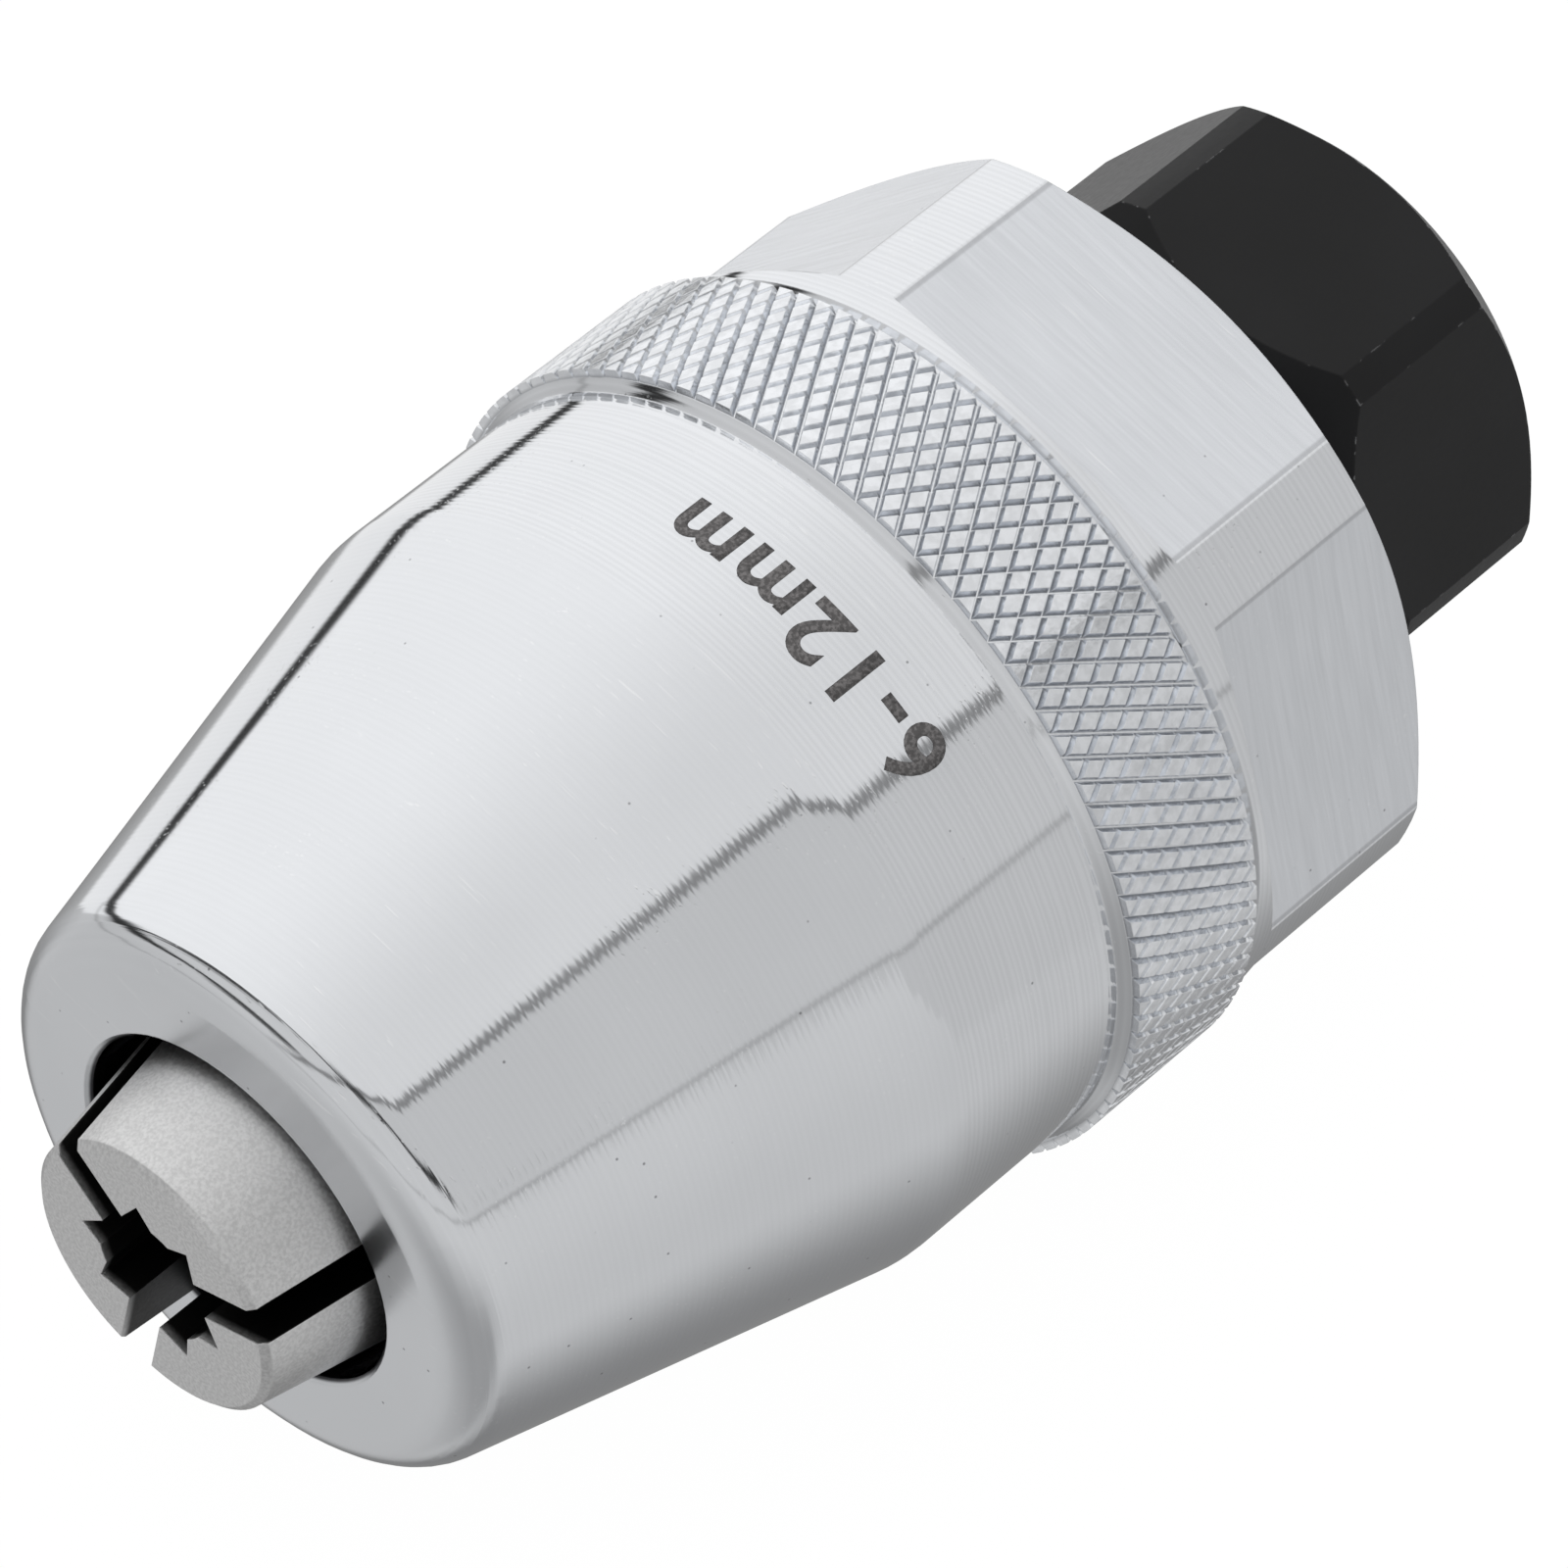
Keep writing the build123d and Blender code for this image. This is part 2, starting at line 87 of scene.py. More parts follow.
# ---------------------------------------------------------------- sizes and colours
class ExtractorSizes(bpy.types.PropertyGroup):
    knurl_front: FloatProperty(
        name="Knurl Front", description="Where the knurled band starts on the axis",
        default=0.0444, unit="LENGTH",
    )
    knurl_width: FloatProperty(
        name="Knurl Width", description="Width of the knurled band along the axis",
        default=0.0087, unit="LENGTH",
    )
    knurl_root: FloatProperty(
        name="Knurl Root Radius", description="Radius at the bottom of the knurl's grooves",
        default=0.0230, unit="LENGTH",
    )
    knurl_height: FloatProperty(
        name="Knurl Height", description="Height of the diamonds above the root",
        default=0.00046, unit="LENGTH",
    )
    knurl_around: IntProperty(
        name="Diamonds Around", description="Diamonds in one ring of the band",
        default=108, min=12, max=300,
    )
    knurl_rows: IntProperty(
        name="Diamond Rows", description="Whole diamonds across the band",
        default=4, min=1, max=20,
    )
    knurl_top: FloatProperty(
        name="Diamond Top", description="Size of a diamond's flat top against its base",
        default=0.70, min=0.05, max=0.98, subtype="FACTOR",
    )
    mark_text: StringProperty(
        name="Capacity Mark", description="Stud sizes etched on the barrel",
        default="6-12mm",
    )
    mark_height: FloatProperty(
        name="Mark Height", description="Height of the etched figures",
        default=0.0036, unit="LENGTH",
    )
    mark_middle: FloatProperty(
        name="Mark Middle", description="Where the middle of the mark lies on the axis",
        default=0.0381, unit="LENGTH",
    )
    barrel_radius: FloatProperty(
        name="Barrel Radius", description="Radius of the plain barrel under the mark",
        default=0.02245, unit="LENGTH",
    )


class ExtractorColours(bpy.types.PropertyGroup):
    plate: FloatVectorProperty(
        name="Plating", description="Bright plating on the body",
        default=(0.840, 0.856, 0.882), size=3, subtype="COLOR", min=0, max=1,
    )
    black: FloatVectorProperty(
        name="Black Oxide", description="Black finish of the drive end",
        default=(0.006, 0.006, 0.0065), size=3, subtype="COLOR", min=0, max=1,
    )
    jaw: FloatVectorProperty(
        name="Jaw Steel", description="Blasted steel of the jaws",
        default=(0.78, 0.78, 0.78), size=3, subtype="COLOR", min=0, max=1,
    )
    etch: FloatVectorProperty(
        name="Etch", description="Dark etched figures",
        default=(0.13, 0.125, 0.125), size=3, subtype="COLOR", min=0, max=1,
    )
    brass: FloatVectorProperty(
        name="Brass", description="Ball cage and screw washer",
        default=(0.62, 0.44, 0.17), size=3, subtype="COLOR", min=0, max=1,
    )
    floor: FloatVectorProperty(
        name="Floor", description="Pale studio floor",
        default=(0.90, 0.90, 0.90), size=3, subtype="COLOR", min=0, max=1,
    )


# ---------------------------------------------------------------- node helpers
class Tree:
    """Short ways to add nodes to a shader or geometry tree and join them."""

    def __init__(self, tree):
        self.tree = tree
        self.count = 0

    def add(self, kind, inputs=None, **settings):
        node = self.tree.nodes.new(kind)
        node.location = (200 * (self.count % 12), -220 * (self.count // 12))
        self.count += 1
        for key, value in settings.items():
            setattr(node, key, value)
        for key, value in (inputs or {}).items():
            self.set(node.inputs[key], value)
        return node

    def set(self, socket, value):
        if isinstance(value, bpy.types.NodeSocket):
            self.tree.links.new(value, socket)
        else:
            socket.default_value = value

    def math(self, operation, *values, clamp=False):
        node = self.add("ShaderNodeMath", operation=operation, use_clamp=clamp)
        for socket, value in zip(node.inputs, values):
            self.set(socket, value)
        return node.outputs[0]

    def dot(self, a, b):
        node = self.add("ShaderNodeVectorMath", operation="DOT_PRODUCT")
        self.set(node.inputs[0], a)
        self.set(node.inputs[1], b)
        return node.outputs["Value"]

    def radius(self, split):
        """Distance from the tool's axis."""
        y, z = split.outputs["Y"], split.outputs["Z"]
        return self.math("SQRT", self.math("ADD", self.math("MULTIPLY", y, y),
                                           self.math("MULTIPLY", z, z)))

    def ramp(self, value, low, high):
        """0 below low, 1 above high, and a smooth blend between them."""
        node = self.add(
            "ShaderNodeMapRange", {"From Min": low, "From Max": high},
            interpolation_type="SMOOTHSTEP",
        )
        self.set(node.inputs["Value"], value)
        return node.outputs["Result"]

    def mix(self, factor, a, b):
        node = self.add("ShaderNodeMix", data_type="FLOAT")
        self.set(node.inputs[0], factor)
        self.set(node.inputs[2], a)
        self.set(node.inputs[3], b)
        return node.outputs[0]

    def mix_colour(self, factor, a, b, blend="MIX"):
        node = self.add("ShaderNodeMix", data_type="RGBA", blend_type=blend)
        self.set(node.inputs[0], factor)
        self.set(node.inputs[6], a)
        self.set(node.inputs[7], b)
        return node.outputs[2]


def rgba(colour):
    return (colour[0], colour[1], colour[2], 1.0)


def new_group(name, inputs, outputs):
    """An empty shader node group, its helper, and the ends to join its nodes to."""
    tree = bpy.data.node_groups.new(name, "ShaderNodeTree")
    for label, default in inputs:
        kind = "NodeSocketVector" if isinstance(default, tuple) else "NodeSocketFloat"
        socket = tree.interface.new_socket(label, in_out="INPUT", socket_type=kind)
        if not isinstance(default, tuple):
            socket.default_value = default
    for label in outputs:
        tree.interface.new_socket(label, in_out="OUTPUT", socket_type="NodeSocketFloat")
    help_tree = Tree(tree)
    source = tree.nodes.new("NodeGroupInput")
    target = tree.nodes.new("NodeGroupOutput")
    return tree, help_tree, source.outputs, target.inputs


def turning_marks_group():
    """Rings left by a lathe tool, along X: even feed marks with an uneven depth."""
    tree, t, given, out = new_group(
        "Turning Marks", [("Position", (0, 0, 0)), ("Feed", 0.00026), ("Unevenness", 0.5)],
        ["Height", "Fine"],
    )
    split = t.add("ShaderNodeSeparateXYZ", {"Vector": given["Position"]})
    turns = t.math("DIVIDE", split.outputs["X"], given["Feed"])
    wobble = t.add(
        "ShaderNodeTexNoise", {"W": turns, "Scale": 0.61, "Detail": 3.0},
        noise_dimensions="1D",
    )
    shifted = t.math("ADD", turns, t.math("MULTIPLY", wobble.outputs[0], 1.1))
    wave = t.math("SINE", t.math("MULTIPLY", shifted, 2 * pi))
    wave = t.math("MULTIPLY_ADD", wave, 0.5, 0.5)
    uneven = t.add(
        "ShaderNodeTexNoise", {"W": turns, "Scale": 1.7, "Detail": 4.0}, noise_dimensions="1D"
    )
    t.set(out["Height"], t.mix(given["Unevenness"], wave, uneven.outputs[0]))
    fine = t.add(
        "ShaderNodeTexNoise", {"W": turns, "Scale": 4.3, "Detail": 2.0}, noise_dimensions="1D"
    )
    t.set(out["Fine"], fine.outputs[0])
    return tree


def handling_group():
    """Hair scratches, pits and cloudy patches that handling leaves on a bright finish."""
    tree, t, given, out = new_group(
        "Handling Wear", [("Position", (0, 0, 0)), ("Pit Size", 0.0011)],
        ["Scratches", "Pits", "Clouds"],
    )
    total = None
    for turn, tilt, seed in ((0.5, 0.3, 1.0), (1.9, -0.6, 5.0), (2.8, 0.9, 9.0)):
        mapped = t.add(
            "ShaderNodeMapping",
            {"Vector": given["Position"], "Rotation": (turn, tilt, turn * 0.7),
             "Scale": (5200, 190, 5200), "Location": (seed, seed, seed)},
        )
        noise = t.add(
            "ShaderNodeTexNoise", {"Vector": mapped.outputs[0], "Scale": 1.0, "Detail": 1.0}
        )
        line = t.ramp(noise.outputs[0], 0.71, 0.78)
        total = line if total is None else t.math("MAXIMUM", total, line)
    patches = t.add(
        "ShaderNodeTexNoise", {"Vector": given["Position"], "Scale": 160.0, "Detail": 2.0}
    )
    thinned = t.math("MULTIPLY", total, t.ramp(patches.outputs[0], 0.42, 0.62))
    t.set(out["Scratches"], thinned)
    cells = t.add(
        "ShaderNodeTexVoronoi",
        {"Vector": given["Position"], "Scale": t.math("DIVIDE", 1.0, given["Pit Size"]),
         "Randomness": 1.0},
    )
    pit = t.math("SUBTRACT", 1.0, t.ramp(cells.outputs["Distance"], 0.03, 0.10))
    choice = t.add("ShaderNodeSeparateColor", {"Color": cells.outputs["Color"]})
    t.set(out["Pits"], t.math("MULTIPLY", pit, t.ramp(choice.outputs[0], 0.80, 0.82)))
    clouds = t.add(
        "ShaderNodeTexNoise", {"Vector": given["Position"], "Scale": 95.0, "Detail": 4.0}
    )
    t.set(out["Clouds"], clouds.outputs[0])
    return tree


def edge_group():
    """1 along sharp edges and 0 on open faces, found from the rounded normal."""
    tree, t, given, out = new_group("Edge Find", [("Radius", 0.00025), ("Gain", 9.0)], ["Edge"])
    rounded = t.add("ShaderNodeBevel", {"Radius": given["Radius"]}, samples=6)
    place = t.add("ShaderNodeNewGeometry")
    same = t.dot(rounded.outputs[0], place.outputs["Normal"])
    away = t.math("SUBTRACT", 1.0, same)
    t.set(out["Edge"], t.math("MULTIPLY", away, given["Gain"], clamp=True))
    return tree


GROUPS = {}


def group(name):
    if name not in GROUPS:
        makers = {
            "Turning Marks": turning_marks_group,
            "Handling Wear": handling_group,
            "Edge Find": edge_group,
        }
        GROUPS[name] = makers[name]()
    return GROUPS[name]


def add_group(t, name, inputs):
    node = t.add("ShaderNodeGroup", node_tree=group(name))
    for key, value in inputs.items():
        t.set(node.inputs[key], value)
    return node.outputs


def new_material(name):
    """A material with only its Principled shader and output, its helper, and its place."""
    material = bpy.data.materials.new(name)
    material.use_nodes = True
    tree = material.node_tree
    tree.nodes.clear()
    t = Tree(tree)
    shader = t.add("ShaderNodeBsdfPrincipled")
    output = t.add("ShaderNodeOutputMaterial")
    tree.links.new(shader.outputs[0], output.inputs["Surface"])
    place = t.add("ShaderNodeTexCoord").outputs["Object"]
    return material, t, shader, place


def bump(t, height, strength, distance, normal=None):
    node = t.add("ShaderNodeBump", {"Strength": strength, "Distance": distance})
    t.set(node.inputs["Height"], height)
    if normal is not None:
        t.set(node.inputs["Normal"], normal)
    return node.outputs["Normal"]


# ---------------------------------------------------------------- finishes
def plated_finish(colour):
    """Bright plated steel: turned rings round the body, milled lines on the six flats."""
    material, t, shader, place = new_material("Bright Plated Steel")
    split = t.add("ShaderNodeSeparateXYZ", {"Vector": place})
    x = split.outputs["X"]
    radius = t.radius(split)
    behind = t.ramp(x, *FLATS_START)
    inside = t.math("SUBTRACT", 1.0, t.ramp(radius, *FLATS_REACH))
    on_flat = t.math("MULTIPLY", behind, inside)
    in_bore = t.math(
        "MULTIPLY", t.ramp(x, *BORE_START),
        t.math("SUBTRACT", 1.0, t.ramp(radius, *BORE_REACH)),
    )
    marks = add_group(
        t, "Turning Marks", {"Position": place, "Feed": 0.00036, "Unevenness": 0.25}
    )
    wear = add_group(t, "Handling Wear", {"Position": place})
    rings = t.mix(0.22, marks["Height"], marks["Fine"])
    # Milled lines run almost round the tool and bend a little, like a cutter's path
    mapped = t.add("ShaderNodeMapping", {"Vector": place, "Scale": (3600, 150, 150)})
    bend = t.add("ShaderNodeTexNoise", {"Vector": place, "Scale": 45.0, "Detail": 1.0})
    bent = t.add("ShaderNodeVectorMath", operation="ADD")
    t.set(bent.inputs[0], mapped.outputs[0])
    t.set(bent.inputs[1], t.add(
        "ShaderNodeVectorMath", {0: bend.outputs[1], 1: (2.5, 0, 0)}, operation="MULTIPLY"
    ).outputs[0])
    milled = t.add("ShaderNodeTexNoise", {"Vector": bent.outputs[0], "Scale": 1.0, "Detail": 3.0})
    lines = t.mix(on_flat, rings, milled.outputs[0])
    rounded = t.add("ShaderNodeBevel", {"Radius": 0.00012}, samples=4).outputs[0]
    deep = bump(t, lines, t.mix(on_flat, 0.095, 0.13), 0.00004, rounded)
    scratched = bump(t, wear["Scratches"], 0.12, 0.00003, deep)
    pitted = bump(t, wear["Pits"], -0.5, 0.00008, scratched)
    t.set(shader.inputs["Normal"], pitted)
    unstained_and_unshaded = rgba(colour)
    stained = rgba([c * 0.97 for c in colour])
    tone = t.mix_colour(t.ramp(wear["Clouds"], 0.35, 0.70), stained, unstained_and_unshaded)
    tone = t.mix_colour(on_flat, tone, (0.96, 0.965, 0.975, 1), blend="MULTIPLY")
    shade = t.math("MULTIPLY_ADD", rings, 0.11, 0.93)
    barrel = t.ramp(x, *BARREL_START)
    shade = t.mix(on_flat, t.mix(barrel, t.mix(0.78, shade, 0.985), shade),
                  t.math("MULTIPLY_ADD", milled.outputs[0], 0.22, 0.87))
    shaded = t.add("ShaderNodeCombineColor", {0: shade, 1: shade, 2: shade})
    tone = t.mix_colour(1.0, tone, shaded.outputs[0], blend="MULTIPLY")
    tone = t.mix_colour(t.math("MULTIPLY", wear["Scratches"], 0.5), tone, (0.95, 0.96, 0.97, 1))
    # Painted shade: a thin darker line where each flat breaks out of the turned collar
    rim = t.math("MULTIPLY", t.ramp(radius, *RIM_INNER_REACH),
                 t.math("SUBTRACT", 1.0, t.ramp(radius, *RIM_OUTER_REACH)))
    rim = t.math("MULTIPLY", rim, behind)
    tone = t.mix_colour(t.math("MULTIPLY", rim, 0.35), tone, (0.20, 0.20, 0.21, 1))
    dark = t.mix_colour(t.math("MULTIPLY", wear["Pits"], 0.7), tone, (0.15, 0.15, 0.16, 1))
    # The bore is painted near black, to stand for the deep shadow in it
    dark = t.mix_colour(in_bore, dark, (0.05, 0.05, 0.055, 1))
    t.set(shader.inputs["Base Color"], dark)
    rough = t.mix(on_flat, 0.055, 0.24)
    rough = t.math("ADD", rough, t.math("MULTIPLY", wear["Clouds"], 0.04))
    nose_face = t.math("SUBTRACT", 1.0, t.ramp(x, *LIP_END))
    rough = t.math("MULTIPLY_ADD", nose_face, 0.16, rough)
    t.set(shader.inputs["Roughness"], rough)
    shader.inputs["Metallic"].default_value = 1.0
    return material


def knurl_finish(colour):
    """The same plating on the pressed diamonds, with ragged pits on their tops."""
    material, t, shader, place = new_material("Plated Knurl")
    wear = add_group(t, "Handling Wear", {"Position": place, "Pit Size": 0.0005})
    grit = t.add("ShaderNodeTexNoise", {"Vector": place, "Scale": 3200.0, "Detail": 3.0})
    dents = t.add("ShaderNodeTexNoise", {"Vector": place, "Scale": 1500.0, "Detail": 2.0})
    rounded = t.add("ShaderNodeBevel", {"Radius": 0.00006}, samples=4).outputs[0]
    normal = bump(t, dents.outputs[0], 0.09, 0.00010, rounded)
    normal = bump(t, grit.outputs[0], 0.10, 0.00004, normal)
    normal = bump(t, wear["Pits"], -0.6, 0.00008, normal)
    t.set(shader.inputs["Normal"], normal)
    tone = t.mix_colour(
        t.ramp(dents.outputs[0], 0.35, 0.65), rgba([c * 0.97 for c in colour]),
        rgba([min(1.0, c * 1.09) for c in colour])
    )
    # Painted shade: the colour is darker towards the bottom of the grooves
    radius = t.radius(t.add("ShaderNodeSeparateXYZ", {"Vector": place}))
    unstained_and_unshaded = t.ramp(radius, *GROOVE_REACH)
    tone = t.mix_colour(unstained_and_unshaded, rgba([c * 0.72 for c in colour]), tone)
    t.set(shader.inputs["Base Color"], tone)
    t.set(shader.inputs["Roughness"], t.math("MULTIPLY_ADD", grit.outputs[0], 0.14, 0.10))
    shader.inputs["Metallic"].default_value = 1.0
    return material


def black_finish(colour):
    """Satin black oxide with a faint grain, and bare steel where edges have been knocked."""
    material, t, shader, place = new_material("Black Oxide")
    wear = add_group(t, "Handling Wear", {"Position": place, "Pit Size": 0.0009})
    edge = add_group(t, "Edge Find", {"Radius": 0.00016, "Gain": 7.0})["Edge"]
    grain = t.add("ShaderNodeTexNoise", {"Vector": place, "Scale": 2600.0, "Detail": 3.0})
    drawn = t.add("ShaderNodeMapping", {"Vector": place, "Scale": (300, 3000, 3000)})
    streak = t.add("ShaderNodeTexNoise", {"Vector": drawn.outputs[0], "Scale": 1.0, "Detail": 2.0})
    chips = t.add("ShaderNodeTexNoise", {"Vector": place, "Scale": 1400.0, "Detail": 2.0})
    bare = t.math("MULTIPLY", edge, t.ramp(chips.outputs[0], 0.60, 0.68))
    base = t.mix_colour(
        t.ramp(wear["Clouds"], 0.30, 0.70), rgba(colour), rgba([c * 1.5 for c in colour])
    )
    t.set(shader.inputs["Base Color"], t.mix_colour(bare, base, (0.45, 0.45, 0.46, 1)))
    rough = t.math("MULTIPLY_ADD", grain.outputs[0], 0.12, 0.34)
    t.set(shader.inputs["Roughness"], t.mix(bare, rough, 0.3))
    t.set(shader.inputs["Metallic"], bare)
    rounded = t.add("ShaderNodeBevel", {"Radius": 0.00015}, samples=4).outputs[0]
    normal = bump(t, streak.outputs[0], 0.10, 0.00003, rounded)
    normal = bump(t, grain.outputs[0], 0.10, 0.00003, normal)
    t.set(shader.inputs["Normal"], normal)
    shader.inputs["Specular IOR Level"].default_value = 0.26
    return material


def jaw_finish(colour):
    """Blasted steel jaws: fine even grit, a painted shadow in the bite and slots, and a painted
    highlight along the edges.
    """
    material, t, shader, place = new_material("Blasted Jaw Steel")
    grit = t.add("ShaderNodeTexNoise", {"Vector": place, "Scale": 5200.0, "Detail": 3.0})
    coarse = t.add("ShaderNodeTexNoise", {"Vector": place, "Scale": 900.0, "Detail": 3.0})
    edge = add_group(t, "Edge Find", {"Radius": 0.00018, "Gain": 6.0})["Edge"]
    tone = t.mix_colour(
        t.ramp(grit.outputs[0], 0.30, 0.70), rgba([c * 0.80 for c in colour]), rgba(colour)
    )
    # Painted highlight: the colour is made lighter along the edges
    bright = t.mix_colour(t.math("MULTIPLY", edge, 0.5), tone, (0.80, 0.80, 0.79, 1))
    # The bite and the slots are painted near black, a painted shadow that stands for the deep
    # shade in them
    split = t.add("ShaderNodeSeparateXYZ", {"Vector": place})
    hidden = t.math("LESS_THAN", t.radius(split), BITE_RADIUS)
    for number in range(SLOT_COUNT):
        angle = radians(SLOT_ANGLE + 360 / SLOT_COUNT * number)
        beside = t.math("ABSOLUTE", t.dot(place, (0, cos(angle), sin(angle))))
        outward = t.dot(place, (0, -sin(angle), cos(angle)))
        slot = t.math(
            "MULTIPLY", t.math("LESS_THAN", beside, SLOT_HALF_WIDTH),
            t.math("GREATER_THAN", outward, SLOT_FOOT),
        )
        hidden = t.math("MAXIMUM", hidden, slot)
    hidden = t.math("MULTIPLY", hidden, t.ramp(split.outputs["X"], *JAW_TIP_START))
    with_painted_shadow = t.mix_colour(hidden, bright, (0.035, 0.034, 0.033, 1))
    t.set(shader.inputs["Base Color"], with_painted_shadow)
    t.set(shader.inputs["Roughness"], t.math("MULTIPLY_ADD", grit.outputs[0], 0.16, 0.33))
    shader.inputs["Metallic"].default_value = 1.0
    rounded = t.add("ShaderNodeBevel", {"Radius": 0.00012}, samples=4).outputs[0]
    normal = bump(t, coarse.outputs[0], 0.02, 0.00006, rounded)
    normal = bump(t, grit.outputs[0], 0.30, 0.00003, normal)
    t.set(shader.inputs["Normal"], normal)
    return material


def machined_finish(name, colour, rough, feed):
    """Plain machined metal for the pieces inside, with rings from the lathe."""
    material, t, shader, place = new_material(name)
    marks = add_group(t, "Turning Marks", {"Position": place, "Feed": feed})
    wear = add_group(t, "Handling Wear", {"Position": place})
    tone = t.mix_colour(
        t.ramp(wear["Clouds"], 0.30, 0.70), rgba([c * 0.8 for c in colour]), rgba(colour)
    )
    t.set(shader.inputs["Base Color"], tone)
    t.set(shader.inputs["Roughness"], t.math("MULTIPLY_ADD", marks["Fine"], 0.15, rough))
    shader.inputs["Metallic"].default_value = 1.0
    t.set(shader.inputs["Normal"], bump(t, marks["Height"], 0.12, 0.00004))
    return material


def etched_finish(colour):
    """Dark matte figures burnt into the plating."""
    material, t, shader, place = new_material("Etched Figures")
    speckle = t.add("ShaderNodeTexNoise", {"Vector": place, "Scale": 5200.0, "Detail": 2.0})
    tone = t.mix_colour(
        t.ramp(speckle.outputs[0], 0.40, 0.66), rgba(colour), rgba([c * 2.0 for c in colour])
    )
    t.set(shader.inputs["Base Color"], tone)
    t.set(shader.inputs["Roughness"], t.math("MULTIPLY_ADD", speckle.outputs[0], 0.2, 0.45))
    shader.inputs["Metallic"].default_value = 0.85
    t.set(shader.inputs["Normal"], bump(t, speckle.outputs[0], 0.2, 0.00002))
    return material


def finish_node(name, material):
    mesh = NODES[name].data
    mesh.materials.clear()
    mesh.materials.append(material)


# ---------------------------------------------------------------- knurled band
def knurl_tree(material):
    """Geometry nodes: flat-topped diamonds set out on a strip, then rolled round the axis."""
    tree = bpy.data.node_groups.new("Diamond Knurl", "GeometryNodeTree")
    face = tree.interface
    face.new_socket("Geometry", in_out="INPUT", socket_type="NodeSocketGeometry")
    for label, kind in (
        ("Around", "NodeSocketInt"), ("Rows", "NodeSocketInt"), ("Front", "NodeSocketFloat"),
        ("Width", "NodeSocketFloat"), ("Root Radius", "NodeSocketFloat"),
        ("Height", "NodeSocketFloat"), ("Top Size", "NodeSocketFloat"),
    ):
        face.new_socket(label, in_out="INPUT", socket_type=kind)
    face.new_socket("Geometry", in_out="OUTPUT", socket_type="NodeSocketGeometry")
    t = Tree(tree)
    given = tree.nodes.new("NodeGroupInput").outputs
    target = tree.nodes.new("NodeGroupOutput")
    around = given["Around"]
    columns = t.math("MULTIPLY", around, 2.0)
    pitch_x = t.math("DIVIDE", given["Width"], given["Rows"])
    pitch_y = t.math("DIVIDE", t.math("MULTIPLY", given["Root Radius"], 2 * pi), around)
    total = t.math("MULTIPLY", columns, t.math("ADD", given["Rows"], 1.0))
    points = t.add("GeometryNodePoints", {"Count": total})
    index = t.add("GeometryNodeInputIndex").outputs[0]
    column = t.math("MODULO", index, columns)
    row = t.math("FLOOR", t.math("DIVIDE", t.math("ADD", index, 0.5), columns))
    odd = t.math("MODULO", column, 2.0)
    along = t.math("MULTIPLY", t.math("ADD", row, t.math("MULTIPLY", odd, 0.5)), pitch_x)
    across = t.math("MULTIPLY", t.math("MULTIPLY", column, 0.5), pitch_y)
    spot = t.add("ShaderNodeCombineXYZ", {"X": along, "Y": across})
    placed = t.add(
        "GeometryNodeSetPosition",
        {"Geometry": points.outputs[0], "Position": spot.outputs[0]},
    )
    # Drop the extra diamond that an odd column would put past the rear edge
    past = t.math("GREATER_THAN", along, t.math("ADD", given["Width"], 0.00001))
    kept = t.add("GeometryNodeDeleteGeometry", domain="POINT")
    t.set(kept.inputs["Geometry"], placed.outputs[0])
    t.set(kept.inputs["Selection"], past)
    depth = t.math("MULTIPLY", given["Height"], 1.25)
    diamond = t.add(
        "GeometryNodeMeshCone",
        {"Vertices": 4, "Radius Top": given["Top Size"], "Radius Bottom": 1.0, "Depth": depth},
        fill_type="NGON",
    )
    sized = t.add("GeometryNodeTransform", {"Geometry": diamond.outputs["Mesh"]})
    size = t.add(
        "ShaderNodeCombineXYZ",
        {"X": t.math("MULTIPLY", pitch_x, 0.5), "Y": t.math("MULTIPLY", pitch_y, 0.5), "Z": 1.0},
    )
    t.set(sized.inputs["Scale"], size.outputs[0])
    drop = t.add("ShaderNodeCombineXYZ", {"Z": t.math("MULTIPLY", given["Height"], -0.25)})
    t.set(sized.inputs["Translation"], drop.outputs[0])
    copies = t.add(
        "GeometryNodeInstanceOnPoints",
        {"Points": kept.outputs[0], "Instance": sized.outputs[0]},
    )
    solid = t.add("GeometryNodeRealizeInstances", {"Geometry": copies.outputs[0]})
    # Trim the band square at both ends and roll it round the axis
    flat = t.add("ShaderNodeSeparateXYZ", {
        "Vector": t.add("GeometryNodeInputPosition").outputs[0]
    }).outputs
    trimmed = t.math("MINIMUM", t.math("MAXIMUM", flat["X"], 0.0), given["Width"])
    x = t.math("ADD", trimmed, given["Front"])
    angle = t.math("DIVIDE", flat["Y"], given["Root Radius"])
    radius = t.math("ADD", flat["Z"], given["Root Radius"])
    y = t.math("MULTIPLY", t.math("SINE", angle), radius)
    z = t.math("MULTIPLY", t.math("COSINE", angle), radius)
    rolled_place = t.add("ShaderNodeCombineXYZ", {"X": x, "Y": y, "Z": z})
    rolled = t.add(
        "GeometryNodeSetPosition",
        {"Geometry": solid.outputs[0], "Position": rolled_place.outputs[0]},
    )
    merged = t.add(
        "GeometryNodeMergeByDistance", {"Geometry": rolled.outputs[0], "Distance": 0.000001}
    )
    painted = t.add(
        "GeometryNodeSetMaterial", {"Geometry": merged.outputs[0], "Material": material}
    )
    tree.links.new(painted.outputs[0], target.inputs[0])
    return tree


def socket_key(tree, label):
    for item in tree.interface.items_tree:
        if item.item_type == "SOCKET" and item.in_out == "INPUT" and item.name == label:
            return item.identifier
    raise RuntimeError("no input called " + label)


